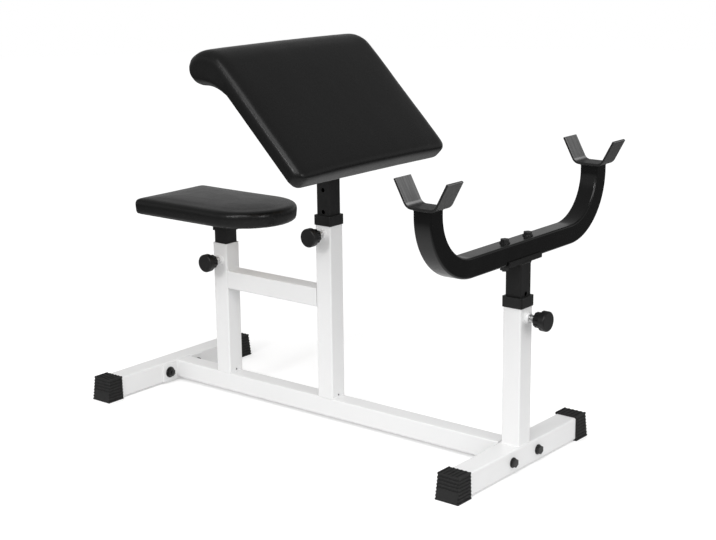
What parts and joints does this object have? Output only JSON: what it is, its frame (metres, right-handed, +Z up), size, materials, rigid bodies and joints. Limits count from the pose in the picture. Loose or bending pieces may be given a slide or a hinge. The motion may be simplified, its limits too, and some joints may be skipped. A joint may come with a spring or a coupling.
{
  "type": "preacher curl bench",
  "caption": "Steel bench for preacher curls: a seat, a sloping padded arm rest with a rolled top and a U-shaped bar rest with strap cradles, all height-adjustable with pin knobs",
  "frame": {"origin": "centre of the bounding box on the floor plane", "axes": "+X from the seat towards the bar rest, along the beam; +Y across the bench; +Z up"},
  "size_m": [1.1296, 0.659, 0.861],
  "materials": {
    "white_paint": "satin",
    "black_paint": "satin",
    "black_vinyl": "satin",
    "black_rubber": "matte",
    "black_plastic": "satin",
    "bright_steel": "satin",
    "black_steel": "satin",
    "plywood": "matte"
  },
  "bodies": {
    "frame": {"rear_foot_tube": "white_paint", "front_foot_tube": "white_paint", "main_beam": "white_paint", "rear_flange_plate": "white_paint", "front_flange_plate": "white_paint", "seat_sleeve": "white_paint", "arm_sleeve": "white_paint", "rest_sleeve": "white_paint", "tie_tube": "white_paint", "seat_lock_nut": "white_paint", "arm_lock_nut": "white_paint", "rest_lock_nut": "white_paint", "rear_left_foot_cap": "black_rubber", "rear_right_foot_cap": "black_rubber", "front_left_foot_cap": "black_rubber", "front_right_foot_cap": "black_rubber", "seat_bush": "black_plastic", "arm_collar": "black_plastic", "rest_collar": "black_plastic", "foot_bolts": "black_steel", "foot_nuts": "black_steel", "foot_washers": "black_steel"},
    "seat": {"seat_post": "black_paint", "seat_post_plug": "black_plastic", "seat_socket": "black_paint", "seat_plate": "black_paint", "seat_board": "plywood", "seat_pad": "black_vinyl", "seat_screws": "black_steel"},
    "arm_rest": {"arm_post": "black_paint", "arm_post_plug": "black_plastic", "arm_plate": "black_paint", "arm_board": "plywood", "arm_pad": "black_vinyl", "arm_screws": "black_steel"},
    "bar_rest": {"rest_post": "black_paint", "rest_post_plug": "black_plastic", "rest_plate": "black_paint", "rest_u_tube": "black_paint", "left_bar_cradle": "black_paint", "right_bar_cradle": "black_paint", "rest_bolts": "black_steel", "rest_nuts": "black_steel", "rest_washers": "black_steel"},
    "seat_pin": {"seat_lock_pin": "bright_steel"},
    "seat_knob": {"seat_lock_screw": "bright_steel", "seat_lock_knob": "black_plastic"},
    "arm_pin": {"arm_lock_pin": "bright_steel"},
    "arm_knob": {"arm_lock_screw": "bright_steel", "arm_lock_knob": "black_plastic"},
    "rest_pin": {"rest_lock_pin": "bright_steel"},
    "rest_knob": {"rest_lock_screw": "bright_steel", "rest_lock_knob": "black_plastic"}
  },
  "joints": [
    {"name": "seat_height", "type": "slide", "parent": "frame", "child": "seat", "axis": [0, 0, 1], "range_m": [0, 0.1]},
    {"name": "arm_rest_height", "type": "slide", "parent": "frame", "child": "arm_rest", "axis": [0, 0, 1], "range_m": [-0.1, 0.1]},
    {"name": "bar_rest_height", "type": "slide", "parent": "frame", "child": "bar_rest", "axis": [0, 0, 1], "range_m": [-0.05, 0.1]},
    {"name": "seat_pin_travel", "type": "slide", "parent": "frame", "child": "seat_pin", "axis": [0, -1, 0], "range_m": [-0.0035, 0.0015]},
    {"name": "seat_knob_turn", "type": "hinge", "parent": "seat_pin", "child": "seat_knob", "pos_m": [-0.33925, -0.075, 0.335], "axis": [0, -1, 0], "range_deg": [-841, 361]},
    {"name": "arm_pin_travel", "type": "slide", "parent": "frame", "child": "arm_pin", "axis": [0, -1, 0], "range_m": [-0.0035, 0.0015]},
    {"name": "arm_knob_turn", "type": "hinge", "parent": "arm_pin", "child": "arm_knob", "pos_m": [-0.01525, -0.075, 0.4395], "axis": [0, -1, 0], "range_deg": [-841, 361]},
    {"name": "rest_pin_travel", "type": "slide", "parent": "frame", "child": "rest_pin", "axis": [1, 0, 0], "range_m": [-0.0035, 0.0015]},
    {"name": "rest_knob_turn", "type": "hinge", "parent": "rest_pin", "child": "rest_knob", "pos_m": [0.56475, 0, 0.329], "axis": [1, 0, 0], "range_deg": [-841, 361]}
  ],
  "couplings": [
    {"joint": "seat_knob_turn", "follows": "seat_pin_travel", "rad_per_m": 4188.8},
    {"joint": "arm_knob_turn", "follows": "arm_pin_travel", "rad_per_m": 4188.8},
    {"joint": "rest_knob_turn", "follows": "rest_pin_travel", "rad_per_m": 4188.8}
  ]
}
